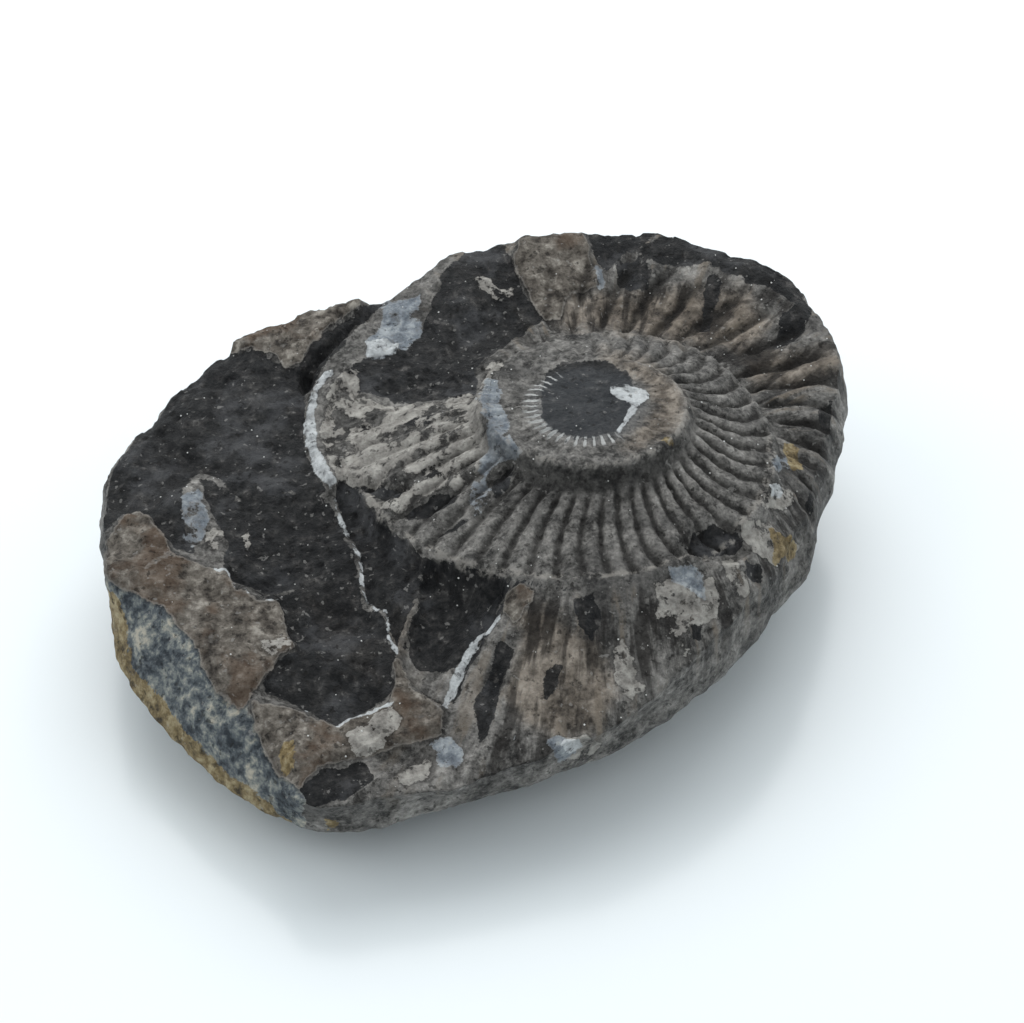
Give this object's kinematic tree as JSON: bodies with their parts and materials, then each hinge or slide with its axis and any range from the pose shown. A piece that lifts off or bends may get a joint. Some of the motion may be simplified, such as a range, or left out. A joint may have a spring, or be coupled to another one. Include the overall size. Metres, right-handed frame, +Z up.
{
  "type": "shaligram ammonite fossil",
  "caption": "Half of a split black shale nodule with the raised, stepped and ribbed impression of a coiled ammonite, resting on its rounded underside.",
  "frame": {"origin": "middle of the small flat spot on the underside that the stone rests on", "axes": "+Z up from the resting surface, -Y towards the viewer of the picture, +X to the viewer's right"},
  "size_m": [0.0687, 0.0677, 0.0232],
  "materials": {
    "shale": "worn natural shale, dull with a slight sheen"
  },
  "bodies": {
    "root": {"ammonite_fossil": "shale"}
  },
  "joints": []
}
